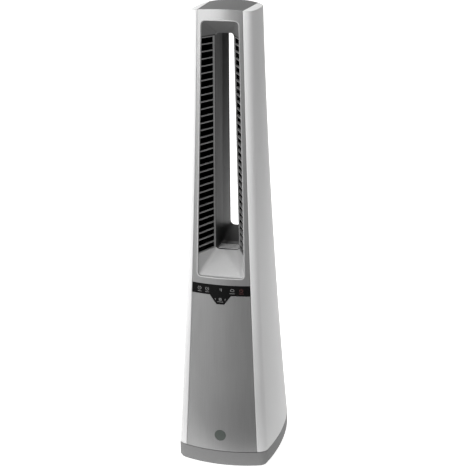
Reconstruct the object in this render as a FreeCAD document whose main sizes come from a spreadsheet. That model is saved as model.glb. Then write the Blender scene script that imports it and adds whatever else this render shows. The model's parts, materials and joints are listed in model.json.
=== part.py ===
"""Tower fan with an open air channel: a swinging tower on a weighted foot.

Millimetres, +Z up, front towards -Y, origin at the middle of the footprint on the floor.
The tower's skins, ducts and air channel are cut from one flared envelope, so those sub-parts
are Part::Feature objects. Turned, moulded and stamped pieces are PartDesign bodies and Part
primitives whose sizes are bound to the sheet named Sizes.
"""
import FreeCAD, Part
import math
import os
import re
import Sketcher
from FreeCAD import Rotation, Vector

doc = FreeCAD.newDocument("TowerFan")
sheet = doc.addObject("Spreadsheet::Sheet", "Sizes")

SIZES = {
    # envelope: half-widths and reaches at the top, half-way down, and at the foot seam
    "tower_top": (945, "highest point of the tower"),
    "seam_height": (34, "top of the foot"),
    "side_top": (60, "half-width at the front corners, top"),
    "side_middle": (72, "half-width at the front corners, middle"),
    "side_foot": (94.5, "half-width at the front corners, foot"),
    "belly_top": (3, "how far the side bows out, top"),
    "belly_middle": (6, "how far the side bows out, middle"),
    "belly_foot": (9, "how far the side bows out, foot"),
    "front_top": (107, "front reach from the swing axis, top"),
    "front_middle": (112, "front reach from the swing axis, middle"),
    "front_foot": (124, "front reach from the swing axis, foot"),
    "back_top": (12.5, "rear reach from the swing axis, top"),
    "back_middle": (60, "rear reach from the swing axis, middle"),
    "back_foot": (124, "rear reach from the swing axis, foot"),
    "panel_top": (44, "half-width of the front panel, top"),
    "panel_middle": (56.5, "half-width of the front panel, middle"),
    "panel_foot": (75.5, "half-width of the front panel, foot"),
    "spine_top": (33, "half-width of the rear panel, top"),
    "spine_middle": (41, "half-width of the rear panel, middle"),
    "spine_foot": (57, "half-width of the rear panel, foot"),
    "front_radius": (240, "plan radius of the front face"),
    "back_radius": (260, "plan radius of the rear face"),
    "front_corner": (17, "length of the front corner rounding"),
    "back_corner": (21, "length of the rear corner rounding"),
    "back_spread": (2, "extra half-width at the rear corners"),
    "crown_fall": (4, "fall of the cap from back to front"),
    "crown_bow": (7.7, "fall of the cap from its middle to the shell edges"),
    "cap_flare": (5, "how much further out the cap's seams are at the back"),
    "wall": (2.6, "moulded wall"),
    "reveal": (0.6, "visible seam between skins"),
    "fit_gap": (0.3, "gap between parts that nest"),
    # front openings
    "lip_low": (411.5, "bottom of the channel mouth"),
    "head_band": (25.6, "from the mouth up to the top of the tower"),
    "chin": (15.5, "from the control strip up to the mouth"),
    "cheek_middle": (9.1, "width of the bezel beside the mouth, middle"),
    "cheek_top": (7, "width of the bezel beside the mouth, top"),
    "lip_depth": (104, "distance of the mouth's inner edge in front of the axis"),
    "lip_return": (3, "depth of the bezel's return edge"),
    "lip_corner": (8, "corner radius of the mouth"),
    "duct_wall": (2, "wall of the air channel"),
    "floor_rise": (40, "rise of the channel floor from the mouth to the throat"),
    "roof_drop": (27.4, "fall of the channel roof from the mouth to the throat"),
    "throat_half_low": (24, "half-width of the throat, bottom"),
    "throat_half_high": (18.4, "half-width of the throat, top"),
    "throat_front_low": (53, "throat start in front of the axis, bottom"),
    "throat_front_high": (70, "throat start in front of the axis, top"),
    "throat_corner": (7, "corner radius of the throat"),
    "throat_back_low": (2, "throat end behind the axis, bottom"),
    "throat_back_high": (-14, "throat end behind the axis, top"),
    "sill_rise": (17, "rise of the channel floor from the throat to the rear mouth"),
    "lintel_drop": (3, "fall of the channel roof from the throat to the rear mouth"),
    "exit_half_low": (22.5, "half-width of the rear mouth, bottom"),
    "exit_half_high": (13, "half-width of the rear mouth, top"),
    "exit_corner": (11, "corner radius of the rear mouth"),
    "louvre_rise": (3.5, "louvres' lower end above the channel floor"),
    "louvre_drop": (5.5, "louvres' upper end below the channel roof"),
    "slat_count": (30, "slats on each side"),
    "slat_thick": (1.5, "slat thickness"),
    "slat_depth": (5, "slat depth into the duct"),
    "post_width": (3.2, "louvre post width"),
    "post_depth": (2, "louvre post depth"),
    "strip_tall": (21, "height of the control strip"),
    "tab_tall": (19, "how far the tab hangs below the strip"),
    "tab_half_top": (21.5, "half-width of the tab where it leaves the strip"),
    "tab_half_low": (8, "half-width of the tab's bottom edge"),
    "split_drop": (19.5, "rear cover's seam below the channel floor"),
    "badge_height": (70, "centre of the badge"),
    "badge_radius": (11.8, "badge radius"),
    "badge_thick": (1.2, "badge thickness"),
    "slot_low": (92, "lowest intake slot"),
    "slot_pitch": (9, "intake slot pitch"),
    "slot_count": (27, "intake slots"),
    "slot_tall": (4.6, "intake slot height"),
    "slot_half": (37, "intake slot half-length"),
    "filter_thick": (6, "intake filter thickness"),
    # foot
    "foot_wall": (3, "wall of the foot cover"),
    "foot_round": (6, "rounding of the foot's bottom edge"),
    "feet_thick": (2.5, "rubber foot height below the plate"),
    "feet_radius": (10, "rubber foot radius"),
    "feet_x": (66, "rubber foot offset from the middle, sideways"),
    "feet_y": (82, "rubber foot offset from the middle, front to back"),
    "plate_thick": (3, "base plate thickness"),
    "ballast_thick": (10, "ballast plate thickness"),
    "ballast_inset": (14, "ballast edge inside the foot outline"),
    "ballast_back": (72, "rear edge of the ballast"),
    "hub_flange": (46, "pivot hub flange radius"),
    "hub_shoulder": (34, "pivot hub shoulder radius"),
    "hub_neck": (22, "pivot journal radius"),
    "hub_step": (6, "width of the gear's seat on the journal's end"),
    "hub_bore": (12, "cable way through the hub"),
    "washer_thick": (0.5, "thrust washer thickness"),
    "running_gap": (0.05, "clearance of a turning fit"),
    "bush_tall": (11, "height of the turntable bush"),
    "bush_wall": (5, "wall of the turntable bush"),
    "bush_rim": (6, "width of the turntable bush's flange"),
    "floor_thick": (3, "tower floor thickness"),
    "gear_module": (1.5, "gear module"),
    "gear_teeth": (48, "teeth on the fixed gear"),
    "pinion_teeth": (12, "teeth on the drive pinion"),
    "gear_face": (6, "face width of the gears"),
    "backlash": (0.3, "tooth backlash"),
    "mesh_gap": (0.15, "extra centre distance of the gears"),
    "gland_height": (18, "height of the cord gland"),
    "gland_bore": (3.6, "radius of the cord gland's bore"),
    "gland_wall": (4.4, "wall of the cord gland"),
    "gland_inside": (10.2, "length of the cord gland inside the foot's wall"),
    # blower
    "blower_y": (-15, "blower axis behind the swing axis"),
    "carrier_post": (5, "radius of the carrier's posts"),
    "carrier_arm": (8, "width of the carrier's arms"),
    "post_offset": (4, "carrier posts outside the blower housing's bore"),
    "carrier_deck": (88, "height of the motor deck"),
    "deck_thick": (4, "motor deck thickness"),
    "deck_radius": (36, "motor deck radius"),
    "motor_radius": (30, "motor can radius"),
    "motor_tall": (54, "motor can height"),
    "motor_wall": (2.5, "motor can wall"),
    "isolator_thick": (4, "rubber isolator thickness"),
    "isolator_radius": (5, "rubber isolator radius"),
    "isolator_reach": (22, "distance of the isolators from the blower axis"),
    "shaft_radius": (4, "motor shaft radius"),
    "bearing_radius": (11, "bearing outer radius"),
    "bearing_tall": (7, "bearing width"),
    "rotor_radius": (16, "magnet rotor radius"),
    "air_gap": (0.6, "gap between rotor and stator"),
    "inlet_height": (164, "underside of the blower housing"),
    "housing_radius": (68, "bore of the blower housing"),
    "inlet_step": (20, "inlet bore smaller than the housing, on the radius"),
    "tip_gap": (5, "impeller smaller than the housing, on the radius"),
    "housing_wall": (2.5, "wall of the blower housing"),
    "housing_tall": (124, "height of the blower housing"),
    "impeller_rise": (8, "impeller above the inlet"),
    "impeller_tall": (56, "impeller height"),
    "impeller_blades": (9, "impeller blades"),
    "cone_radius": (16, "impeller cone radius at its foot"),
    "diffuser_hub": (24, "diffuser hub radius"),
    "diffuser_tall": (46, "diffuser height"),
    "diffuser_vanes": (11, "diffuser vanes"),
    "manifold_drop": (8.5, "top of the air manifold below the mouth"),
    "manifold_front": (92, "manifold reach in front of the axis"),
    "manifold_back": (36, "manifold reach behind the axis"),
    "manifold_half": (64, "manifold half-width"),
    "neck_inner": (49, "inner side of the duct necks"),
    "duct_skin": (1.6, "wall of the side ducts"),
    # fasteners and electrics
    "screw_radius": (1.5, "foot screw radius"),
    "screw_head": (3.2, "foot screw head radius"),
    "head_thick": (1.5, "foot screw head thickness"),
    "screw_inset": (20, "foot screws nearer the middle than the feet"),
    "boss_wall": (3.5, "wall of the screw bosses"),
    "gear_screw": (1.2, "gear screw radius"),
    "gear_screw_long": (14, "gear screw length"),
    "swing_post": (14, "height of the swing motor's posts"),
    "swing_span": (44, "length across the swing motor's ears"),
    "swing_ear": (9, "width of the swing motor's ears"),
    "swing_can": (14, "swing motor radius"),
    "swing_tall": (19, "swing motor height"),
    "swing_shaft_radius": (2.5, "swing motor shaft radius"),
    "board_thick": (1.6, "circuit board thickness"),
    "supply_reach": (98, "supply board in front of the swing axis"),
    "supply_wide": (84, "supply board width"),
    "supply_tall": (96, "supply board height"),
    "bracket_tall": (7, "height of the supply board's brackets"),
    "panel_board_wide": (88, "control board width"),
    "panel_board_tall": (30, "control board height"),
    "panel_board_back": (7.6, "control board behind the strip's inner face"),
    "touch_radius": (3, "touch contact radius"),
    "motor_lead_radius": (2, "motor lead radius"),
    "panel_lead_radius": (1.8, "control lead radius"),
}

DERIVED = {
    # sizes and heights that follow from the ones above
    "crown_front": "tower_top - crown_fall",
    "crown_side": "tower_top - crown_bow",
    "lip_high": "tower_top - head_band",
    "lip_half_low": "panel_middle - cheek_middle",
    "lip_half_high": "panel_top - cheek_top",
    "throat_low": "lip_low + floor_rise",
    "throat_high": "lip_high - roof_drop",
    "exit_low": "throat_low + sill_rise",
    "exit_high": "throat_high - lintel_drop",
    "louvre_low": "throat_low + louvre_rise",
    "louvre_high": "throat_high - louvre_drop",
    "strip_high": "lip_low - chin",
    "strip_low": "strip_high - strip_tall",
    "tab_low": "strip_low - tab_tall",
    "rear_split": "throat_low - split_drop",
    "manifold_top": "lip_low - manifold_drop",
    "hub_spigot": "hub_neck - hub_step",
    "plate_top": "feet_thick + plate_thick",
    "deck_top": "seam_height + washer_thick",
    "bush_low": "deck_top + running_gap",
    "bush_bore": "hub_neck + running_gap",
    "bush_flange": "bush_bore + bush_wall + bush_rim",
    "floor_low": "bush_low + 2",
    "floor_top": "floor_low + floor_thick",
    "gear_low": "bush_low + bush_tall + 0.4",
    "gear_screw_reach": "(hub_spigot + hub_neck) / 2",
    "pinion_y": "gear_module * (gear_teeth + pinion_teeth) / 2 + mesh_gap",
    "gland_radius": "gland_bore + gland_wall",
    "gland_start": "back_foot - foot_wall - gland_inside - 0.8",
    "screw_x": "feet_x - 2",
    "screw_y": "feet_y - screw_inset",
    "carrier_reach": "housing_radius + post_offset",
    "inlet_radius": "housing_radius - inlet_step",
    "impeller_radius": "housing_radius - tip_gap",
    "motor_low": "carrier_deck + deck_thick + isolator_thick",
    "motor_top": "motor_low + motor_tall",
    "impeller_low": "inlet_height + impeller_rise",
    "impeller_top": "impeller_low + impeller_tall",
    "housing_top": "inlet_height + housing_tall",
    "supply_low": "floor_top + bracket_tall",
    "supply_back": "board_thick / 2 - supply_reach",
}

for row, (alias, (number, meaning)) in enumerate(SIZES.items(), start=1):
    sheet.set(f"A{row}", meaning)
    sheet.set(f"B{row}", str(number))
    sheet.setAlias(f"B{row}", alias)
doc.recompute()


# ---------------------------------------------------------------- sheet and document helpers

def expression(text):
    """The expression with each alias pointing at the sheet, and derived names written out."""
    def resolve(found):
        word = found[0]
        if word in DERIVED:
            return f"({expression(DERIVED[word])})"
        return f"Sizes.{word}" if word in SIZES else word

    return re.sub(r"[a-z_]+", resolve, str(text))


def value(text):
    """Number that an expression on the sheet gives."""
    return float(sheet.evalExpression(expression(text)))


def size(alias):
    """Current value of one named size."""
    return value(alias) if alias in DERIVED else float(sheet.get(alias))


def bind(item, **properties):
    """Bind properties to expressions; x, y and z stand for the placement."""
    for key, text in properties.items():
        path = f"Placement.Base.{key}" if key in ("x", "y", "z") else key
        item.setExpression(path, expression(text))
    return item


def cylinder(name, radius, height, x=0, y=0, z=0):
    return bind(doc.addObject("Part::Cylinder", name), Radius=radius, Height=height, x=x, y=y, z=z)


def box(name, length, width, height, x=0, y=0, z=0):
    """A box centred on x and y, standing on z."""
    item = doc.addObject("Part::Box", name)
    return bind(item, Length=length, Width=width, Height=height,
                x=f"({x}) - ({length}) / 2", y=f"({y}) - ({width}) / 2", z=z)


def lying_cylinder(name, radius, length, x=0, y=0, z=0):
    """A cylinder along +Y from the given point."""
    item = doc.addObject("Part::Cylinder", name)
    item.Placement.Rotation = Rotation(Vector(1, 0, 0), -90)
    return bind(item, Radius=radius, Height=length, x=x, y=y, z=z)


def cut(name, base, *tools):
    """Base less the tools."""
    result = doc.addObject("Part::Cut", name)
    result.Base = base
    result.Tool = tools[0] if len(tools) == 1 else fuse(name + "Tools", *tools)
    return result


def fuse(name, *shapes):
    result = doc.addObject("Part::MultiFuse", name)
    result.Shapes = list(shapes)
    return result


def group(name, *shapes):
    """Several identical solids in one node."""
    result = doc.addObject("Part::Compound", name)
    result.Links = list(shapes)
    return result


def feature(name, shape):
    """A sub-part whose shape is set by Part's own functions."""
    item = doc.addObject("Part::Feature", name)
    item.Shape = shape
    return item


def origin_plane(body, role):
    return next(item for item in body.Origin.OriginFeatures if item.Role == role)


def outline_sketch(body, name, role, points, offset="0"):
    """Closed polygon sketch whose corners are bound to the sheet."""
    sketch = body.newObject("Sketcher::SketchObject", name)
    sketch.AttachmentSupport = [(origin_plane(body, role), "")]
    sketch.MapMode = "FlatFace"
    sketch.setExpression("AttachmentOffset.Base.z", expression(offset))
    corners = [Vector(value(a), value(b), 0) for a, b in points]
    count = len(points)
    for index in range(count):
        sketch.addGeometry(Part.LineSegment(corners[index], corners[(index + 1) % count]))
    for index in range(count):
        sketch.addConstraint(Sketcher.Constraint("Coincident", index, 2, (index + 1) % count, 1))
    for index, (a, b) in enumerate(points):
        for kind, text, number in (("DistanceX", a, corners[index].x), ("DistanceY", b, corners[index].y)):
            constraint = sketch.addConstraint(Sketcher.Constraint(kind, index, 1, number))
            sketch.setExpression(f"Constraints[{constraint}]", expression(text))
    return sketch


def turned(name, points):
    """Body turned about Z from a profile of (radius, height) points."""
    body = doc.addObject("PartDesign::Body", name)
    sketch = outline_sketch(body, name + "Profile", "XZ_Plane", points)
    turn = body.newObject("PartDesign::Revolution", name + "Turn")
    turn.Profile = sketch
    turn.ReferenceAxis = (sketch, ["V_Axis"])
    turn.Angle = 360
    return body


def add_vanes(body, name, points, low, height, count):
    """Pad one vane from a plan outline and repeat it round the body's axis."""
    sketch = outline_sketch(body, name + "Outline", "XY_Plane", points, low)
    pad = body.newObject("PartDesign::Pad", name + "Pad")
    pad.Profile = sketch
    pad.setExpression("Length", expression(height))
    pattern = body.newObject("PartDesign::PolarPattern", name + "Ring")
    pattern.Originals = [pad]
    pattern.Axis = (sketch, ["N_Axis"])
    pattern.Angle = 360
    pattern.Occurrences = int(size(count))
    body.Tip = pattern
    return body


# ---------------------------------------------------------------- envelope helpers

def flare(name, z):
    """Quadratic through the named top, middle and foot values."""
    top, middle, foot = (size(f"{name}_{level}") for level in ("top", "middle", "foot"))
    u = (size("tower_top") - z) / (size("tower_top") - size("seam_height"))
    return top + (4 * middle - 3 * top - foot) * u + 2 * (top - 2 * middle + foot) * u * u


def bow(radius, half):
    """Sagitta of an arc at a half-width."""
    return radius - math.sqrt(radius * radius - half * half)


def crossing(p, along_p, q, along_q):
    """Where two lines in plan meet."""
    cross = along_p.x * along_q.y - along_p.y * along_q.x
    reach = ((q.x - p.x) * along_q.y - (q.y - p.y) * along_q.x) / cross
    return p + along_p * reach


def bezier(*poles):
    curve = Part.BezierCurve()
    curve.setPoles(list(poles))
    return curve.toShape()


def plan(z, inset=0.0):
    """Outline of the tower at one height, moved inwards by the inset."""
    side = flare("side", z) - inset
    spread = side + size("back_spread")
    front_radius = size("front_radius") - inset
    back_radius = size("back_radius") - inset
    front_corner = size("front_corner") - inset
    back_corner = size("back_corner") - inset
    front_half = side - front_corner
    back_half = spread - back_corner
    nose = Vector(0, inset - flare("front", z), z)
    tail = Vector(0, flare("back", z) - inset, z)
    front_end = Vector(front_half, nose.y + bow(front_radius, front_half), z)
    back_end = Vector(back_half, tail.y - bow(back_radius, back_half), z)
    side_front = Vector(side, front_end.y + front_corner, z)
    side_back = Vector(spread, back_end.y - back_corner, z)
    belly = Vector(side + flare("belly", z), (side_front.y + side_back.y) / 2, z)
    side_arc = Part.Arc(side_front, belly, side_back)
    front_slope = Vector(1, front_half / math.sqrt(front_radius ** 2 - front_half ** 2), 0)
    back_slope = Vector(1, -back_half / math.sqrt(back_radius ** 2 - back_half ** 2), 0)
    start_slope = side_arc.tangent(side_arc.FirstParameter)[0]
    end_slope = side_arc.tangent(side_arc.LastParameter)[0]
    front_pole = crossing(front_end, front_slope, side_front, start_slope)
    back_pole = crossing(back_end, back_slope, side_back, end_slope)

    def mirrored(point):
        return Vector(-point.x, point.y, point.z)

    edges = [
        Part.Arc(mirrored(front_end), nose, front_end).toShape(),
        bezier(front_end, front_pole, side_front),
        side_arc.toShape(),
        bezier(side_back, back_pole, back_end),
        Part.Arc(back_end, tail, mirrored(back_end)).toShape(),
        bezier(mirrored(back_end), mirrored(back_pole), mirrored(side_back)),
        Part.Arc(mirrored(side_back), mirrored(belly), mirrored(side_front)).toShape(),
        bezier(mirrored(side_front), mirrored(front_pole), mirrored(front_end)),
    ]
    return Part.Wire(edges)


def levels(count=7):
    """Evenly spaced heights that cover the whole tower with a margin at each end."""
    low = size("seam_height") - 6
    high = size("tower_top") + 14
    return [low + (high - low) * step / (count - 1) for step in range(count)]


def envelope(inset=0.0):
    """The tower's outer form, moved inwards by the inset, past both ends."""
    return Part.makeLoft([plan(z, inset) for z in levels()], True, False)


def slab(low, high):
    return Part.makeBox(600, 600, high - low, Vector(-300, -300, low))


def under_crown(drop=0.0):
    """Everything below the cap's crowned surface, lowered by the drop."""
    reach = 140
    front, back = -size("front_top"), size("back_top")
    slope = size("crown_fall") / (back - front)
    widen = (reach / size("side_top")) ** 2
    ends = []
    for y in (-reach, reach):
        centre = size("crown_front") + slope * (y - front) - drop
        edge = centre - (centre + drop - size("crown_side")) * widen
        low_left, low_right = Vector(-reach, y, 0), Vector(reach, y, 0)
        high_left, high_right = Vector(-reach, y, edge), Vector(reach, y, edge)
        top = Part.Arc(high_right, Vector(0, y, centre), high_left).toShape()
        lines = [Part.makeLine(low_left, low_right), Part.makeLine(low_right, high_right),
                 top, Part.makeLine(high_left, low_left)]
        ends.append(Part.Wire(lines))
    return Part.makeLoft(ends, True, True)


def tapered_block(name, gap, y_low, y_high):
    """Block as wide as a named panel, narrowed by the gap on both sides."""
    wires = []
    for z in levels():
        half = flare(name, z) - gap
        corners = [(-half, y_low), (half, y_low), (half, y_high), (-half, y_high), (-half, y_low)]
        wires.append(Part.makePolygon([Vector(x, y, z) for x, y in corners]))
    return Part.makeLoft(wires, True, False)


def lid_block(gap):
    """Block that the cap fills, wider towards the back."""
    front, back, reach = -size("front_top"), size("back_top"), 200
    spread = size("cap_flare") / (back - front)
    wires = []
    for z in levels():
        near, far = (flare("panel", z) - gap + spread * (y - front) for y in (-reach, reach))
        corners = [(-near, -reach), (near, -reach), (far, reach), (-far, reach), (-near, -reach)]
        wires.append(Part.makePolygon([Vector(x, y, z) for x, y in corners]))
    return Part.makeLoft(wires, True, False)


def front_block(gap):
    return tapered_block("panel", gap, -200, -60)


def back_block(gap):
    return tapered_block("spine", gap, 0, 200)


def mouth(low, high, corner, grow=0.0):
    """Rounded four-sided section; low and high are (half-width, y, z) of its two ends."""
    half_low, y_low, z_low = low
    half_high, y_high, z_high = high
    corners = [
        Vector(-half_low - grow, y_low, z_low - grow),
        Vector(half_low + grow, y_low, z_low - grow),
        Vector(half_high + grow, y_high, z_high + grow),
        Vector(-half_high - grow, y_high, z_high + grow),
    ]
    radius = corner + grow
    edges = []
    for index, point in enumerate(corners):
        before, after = corners[index - 1], corners[(index + 1) % 4]
        start = point + (before - point).normalize() * radius
        finish = point + (after - point).normalize() * radius
        following = corners[(index + 1) % 4]
        next_start = following + (point - following).normalize() * radius
        edges.append(bezier(start, point, finish))
        edges.append(Part.makeLine(finish, next_start))
    return Part.Wire(edges)


def channel_sections():
    """The air channel's sections from the front mouth to the rear mouth."""
    lip = size("lip_depth")
    lip_low = (size("lip_half_low"), -lip, size("lip_low"))
    lip_high = (size("lip_half_high"), -lip, size("lip_high"))
    throat_low = (size("throat_half_low"), -size("throat_front_low"), size("throat_low"))
    throat_high = (size("throat_half_high"), -size("throat_front_high"), size("throat_high"))
    waist_low = (size("throat_half_low"), size("throat_back_low"), size("throat_low"))
    waist_high = (size("throat_half_high"), size("throat_back_high"), size("throat_high"))
    exit_y_low = flare("back", size("exit_low")) - size("wall")
    exit_y_high = flare("back", size("exit_high")) - size("wall")
    exit_low = (size("exit_half_low"), exit_y_low, size("exit_low"))
    exit_high = (size("exit_half_high"), exit_y_high, size("exit_high"))
    return lip_low, lip_high, throat_low, throat_high, waist_low, waist_high, exit_low, exit_high


def moved(end, dy):
    return (end[0], end[1] + dy, end[2])


def funnel(grow=0.0):
    """The mouth's space from in front of the face back to the throat."""
    lip_low, lip_high, throat_low, throat_high = channel_sections()[:4]
    corner = size("lip_corner")
    wires = [
        mouth(moved(lip_low, -40), moved(lip_high, -40), corner, grow),
        mouth(lip_low, lip_high, corner, grow),
        mouth(throat_low, throat_high, size("throat_corner"), grow),
    ]
    return Part.makeLoft(wires, True, True)


def tunnel(grow=0.0):
    """The space from the throat out through the rear mouth."""
    throat_low, throat_high, waist_low, waist_high, exit_low, exit_high = channel_sections()[2:]
    throat, corner = size("throat_corner"), size("exit_corner")
    wires = [
        mouth(throat_low, throat_high, throat, grow),
        mouth(waist_low, waist_high, throat, grow),
        mouth(exit_low, exit_high, corner, grow),
        mouth(moved(exit_low, 30), moved(exit_high, 30), corner, grow),
    ]
    return Part.makeLoft(wires, True, True)


def passage(grow=0.0):
    """The whole air channel grown by a margin."""
    return funnel(grow).fuse(tunnel(grow))


PASSAGE = passage()
OUTER = envelope()
INNER = envelope(size("wall"))
SKIN = OUTER.cut(INNER)
CROWN = under_crown()
TOWER_LOW = size("seam_height") + 0.8


# ---------------------------------------------------------------- tower skins

def side_shells():
    """Left and right shells with a closed top rim."""
    hollow = INNER.common(under_crown(size("wall")))
    shell = OUTER.common(CROWN).cut(hollow).common(slab(TOWER_LOW, size("tower_top") + 10))
    shell = shell.cut(front_block(0)).cut(back_block(0))
    lid_room = lid_block(0).common(slab(size("lip_high") + 5, size("tower_top") + 10))
    shell = shell.cut(lid_room.common(INNER))
    for name, x in (("left_shell", -300), ("right_shell", 0)):
        feature(name, shell.common(Part.makeBox(300, 600, 1200, Vector(x, -300, 0))))


def front_skin(low, high):
    """The front face between two heights, narrowed by the reveal."""
    return SKIN.common(front_block(size("reveal"))).common(slab(low, high)).common(CROWN)


def strip_prism(grow=0.0):
    """The control strip's outline as a prism through the front face."""
    low, high = size("strip_low") - grow, size("strip_high") + grow
    tab_top, tab_low = size("tab_half_top") + grow, size("tab_half_low") + grow
    tab = size("tab_low") - grow
    corners = [(-100, high), (-100, low), (-tab_top, low), (-tab_low, tab),
               (tab_low, tab), (tab_top, low), (100, low), (100, high), (-100, high)]
    face = Part.Face(Part.makePolygon([Vector(x, -150, z) for x, z in corners]))
    return face.extrude(Vector(0, 80, 0))


def front_frame():
    """Upper bezel with a return edge round the channel mouth."""
    skin = front_skin(size("strip_high") + size("reveal"), size("tower_top") + 10)
    wall = funnel(size("duct_wall")).cut(PASSAGE).common(OUTER)
    lip = wall.cut(envelope(size("lip_return"))).common(slab(size("strip_high"), size("crown_side")))
    feature("front_frame", skin.cut(funnel(size("duct_wall") - 0.05)).fuse(lip).removeSplitter())


def front_panel():
    """Lower front panel with the badge recess."""
    skin = front_skin(TOWER_LOW, size("strip_high")).cut(strip_prism(size("reveal") / 2))
    skin = skin.cut(badge_recess(0.15))
    feature("front_panel", skin)


def badge_seat():
    """Depth of the badge's back face."""
    return -flare("front", size("badge_height")) + size("badge_thick") - 0.2


def badge_recess(grow):
    return Part.makeCylinder(size("badge_radius") + grow, 20, Vector(0, badge_seat(), size("badge_height")),
                             Vector(0, -1, 0))


def badge():
    """Plain round badge, set in the front panel."""
    disc = Part.makeCylinder(size("badge_radius"), size("badge_thick"),
                             Vector(0, badge_seat(), size("badge_height")), Vector(0, -1, 0))
    feature("badge_disc", disc.makeChamfer(0.3, [disc.Edges[0]]))


def control_lens():
    """Gloss strip with its tab, flush with the front face."""
    feature("control_lens", front_skin(size("tab_low") - 5, size("strip_high")).common(strip_prism()))


def top_cap():
    """Crowned lid between the shells, inside the front and rear skins."""
    lid = CROWN.cut(under_crown(size("wall"))).common(envelope(size("wall") + size("fit_gap")))
    lid = lid.common(lid_block(size("reveal")))
    feature("top_cap", lid)


def rear_skin(low, high):
    """The rear face between two heights, narrowed by the reveal."""
    return SKIN.common(back_block(size("reveal"))).common(slab(low, high)).common(CROWN)


def rear_frame():
    """Upper rear panel round the rear mouth."""
    skin = rear_skin(size("rear_split") + size("reveal"), size("tower_top") + 10)
    feature("rear_frame", skin.cut(tunnel(size("duct_wall") + size("fit_gap"))))


def rear_cover():
    """Lower rear panel with its intake slots."""
    slots = []
    for index in range(int(size("slot_count"))):
        z = size("slot_low") + index * size("slot_pitch")
        for x in (-size("slot_half"), 2.0):
            slots.append(Part.makeBox(size("slot_half") - 2, 160, size("slot_tall"), Vector(x, 20, z)))
    skin = rear_skin(TOWER_LOW, size("rear_split"))
    feature("rear_cover", skin.cut(Part.makeCompound(slots)))


def intake_filter():
    """Filter mat that lies against the rear cover's slots."""
    low = size("slot_low") - 4
    high = size("slot_low") + size("slot_count") * size("slot_pitch") + 2
    outer = envelope(size("wall") + size("fit_gap"))
    mat = outer.cut(envelope(size("wall") + size("fit_gap") + size("filter_thick")))
    block = Part.makeBox(2 * size("slot_half") + 8, 200, high - low, Vector(-size("slot_half") - 4, 0, low))
    feature("intake_filter", mat.common(block))


# ---------------------------------------------------------------- air channel

def scoops():
    """Sloping floor and roof of the mouth, behind the bezel's return edge."""
    wall = funnel(size("duct_wall")).cut(PASSAGE).common(envelope(size("lip_return") + 0.1))
    low = slab(size("lip_low") - 20, size("louvre_low") - 0.1)
    high = slab(size("louvre_high") + 0.1, size("lip_high") + 20)
    feature("lower_scoop", wall.common(low))
    feature("upper_scoop", wall.common(high))


def channel_liner():
    """Dark liner from the throat to the rear mouth, flush with the rear face."""
    feature("channel_liner", tunnel(size("duct_wall")).cut(PASSAGE).common(OUTER))


def louvre_line(z):
    """Front and rear ends of the louvre at one height, on the right-hand side."""
    lip_low, lip_high, throat_low, throat_high = channel_sections()[:4]

    def at(low, high):
        share = (z - low[2]) / (high[2] - low[2])
        return Vector(low[0] + (high[0] - low[0]) * share, low[1] + (high[1] - low[1]) * share, z)

    front, rear = at(lip_low, lip_high), at(throat_low, throat_high)
    along = (rear - front).normalize()
    lip_back = size("lip_return") + size("fit_gap") - flare("front", z)
    lip_back += bow(size("front_radius") - size("lip_return"), front.x + size("duct_wall"))
    front += along * ((lip_back - front.y) / along.y)
    return front, rear - along * 1.0, along


def louvre_piece(low, high, start, finish, shallow, deep):
    """Bar between two heights; start and finish pick its ends along the louvre, at two depths."""
    wires = []
    for z in (low, high):
        front, rear, along = louvre_line(z)
        outward = Vector(along.y, -along.x, 0)
        a, b = start(front, rear, along), finish(front, rear, along)
        near, far = outward * shallow, outward * deep
        wires.append(Part.makePolygon([a + near, b + near, b + far, a + far, a + near]))
    return Part.makeLoft(wires, True, True)


def louvres():
    """A ladder of slats between two posts for each side of the mouth."""
    low, high = size("louvre_low"), size("louvre_high")
    post, thick = size("post_width"), size("slat_thick")
    depth, post_depth = size("slat_depth"), size("post_depth")
    count = int(size("slat_count"))
    pitch = (high - low) / (count + 1)

    def at_front(front, rear, along):
        return front

    def at_rear(front, rear, along):
        return rear

    bars = [
        louvre_piece(low, high, at_front, lambda f, r, a: f + a * post_depth, depth - post_depth, depth),
        louvre_piece(low, high, lambda f, r, a: r - a * post, at_rear, 0, post_depth),
        louvre_piece(low, low + thick, at_front, at_rear, 0, depth),
        louvre_piece(high - thick, high, at_front, at_rear, 0, depth),
    ]
    for index in range(count):
        middle = low + (index + 1) * pitch
        bars.append(louvre_piece(middle - thick / 2, middle + thick / 2,
                                 lambda f, r, a: f + a * 0.2, lambda f, r, a: r - a * 0.2, 0.1, depth - 0.1))
    right = bars[0].multiFuse(bars[1:])
    feature("right_louvre", right)
    feature("left_louvre", right.mirror(Vector(0, 0, 0), Vector(1, 0, 0)))


def duct_space(inset, grow, low, high):
    """Space between the skins and the channel on the right-hand side."""
    space = envelope(inset).common(slab(low, high)).cut(passage(grow))
    space = space.common(Part.makeBox(300, 600, 1200, Vector(5, -300, 0)))
    below = Part.makeBox(size("neck_inner") + grow, 600, size("louvre_low") + 3 + grow, Vector(0, -300, 0))
    return space.cut(below)


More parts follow.
